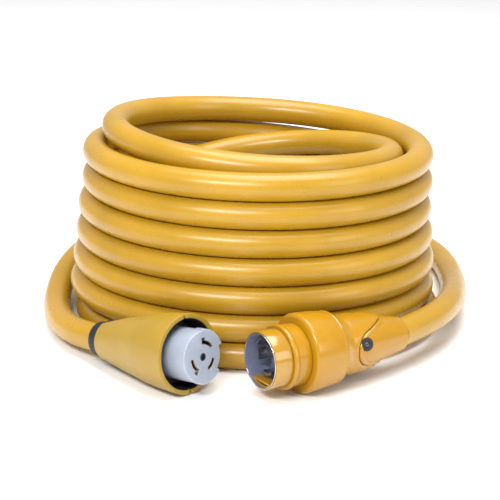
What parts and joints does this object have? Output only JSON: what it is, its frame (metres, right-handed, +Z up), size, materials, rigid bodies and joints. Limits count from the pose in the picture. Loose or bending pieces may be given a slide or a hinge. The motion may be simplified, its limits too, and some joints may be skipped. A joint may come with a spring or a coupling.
{
  "type": "shore power cord",
  "caption": "Coiled yellow shore power cord with a jaw-clamp female connector and a moulded locking plug lying in front of the coil.",
  "frame": {"origin": "under the middle of the object's box, on the surface that it lies on", "axes": "+Z up; -Y is the side where the two ends lie; +X towards the plug"},
  "size_m": [0.43, 0.5895, 0.205],
  "materials": {
    "cord_jacket": "satin",
    "jaw_shell": "satin moulded",
    "black_rubber": "satin",
    "white_insulator": "translucent moulded nylon",
    "grey_insulator": "matte",
    "plug_moulding": "semi-gloss moulded",
    "nickel": "nickel plated",
    "steel": "bright",
    "brass_contact": "bright",
    "lens": "dark tinted lens",
    "lamp": "clear",
    "wire_black": "satin",
    "wire_red": "satin",
    "wire_white": "satin",
    "wire_green": "satin"
  },
  "bodies": {
    "root": {"blade_carrier": "grey_insulator", "blade_ground": "nickel", "blade_neutral": "nickel", "blade_x": "nickel", "blade_y": "nickel", "carrier_screws": "nickel", "centre_bush": "black_rubber", "centre_screw": "steel", "connector_wire_ground": "wire_green", "connector_wire_neutral": "wire_white", "connector_wire_x": "wire_black", "connector_wire_y": "wire_red", "contact_ground": "brass_contact", "contact_neutral": "brass_contact", "contact_x": "brass_contact", "contact_y": "brass_contact", "cord_coil": "cord_jacket", "cord_tail_connector": "cord_jacket", "cord_tail_plug": "cord_jacket", "face_seal": "black_rubber", "hinge_pins": "steel", "indicator_bezel": "black_rubber", "indicator_lamp": "lamp", "indicator_lens": "lens", "inner_body": "black_rubber", "jaw_springs": "steel", "metal_shell": "nickel", "plug_body": "plug_moulding", "plug_collar": "plug_moulding", "plug_terminal_screws": "nickel", "plug_wire_ground": "wire_green", "plug_wire_neutral": "wire_white", "plug_wire_x": "wire_black", "plug_wire_y": "wire_red", "polarity_key": "plug_moulding", "rear_collar": "black_rubber", "rear_grip": "plug_moulding", "receptacle_insert": "white_insulator", "shell_sleeve": "plug_moulding", "terminal_screws": "steel"},
    "jaw_near": {"jaw_near": "jaw_shell"},
    "jaw_far": {"jaw_far": "jaw_shell"}
  },
  "joints": [
    {"name": "jaw_near_hinge", "type": "hinge", "parent": "root", "child": "jaw_near", "pos_m": [-0.11137, -0.21501, 0.02853], "axis": [0.0873, -0.0825, -0.9928], "range_deg": [0, 3.5], "stiffness_Nm_per_rad": 1.2, "springref_deg": -20.05},
    {"name": "jaw_far_hinge", "type": "hinge", "parent": "root", "child": "jaw_far", "pos_m": [-0.11137, -0.21501, 0.02853], "axis": [0.0873, -0.0825, -0.9928], "range_deg": [-3.5, 0], "stiffness_Nm_per_rad": 1.2, "springref_deg": 20.05}
  ],
  "couplings": [
    {"joint": "jaw_far_hinge", "follows": "jaw_near_hinge", "ratio": -1}
  ]
}
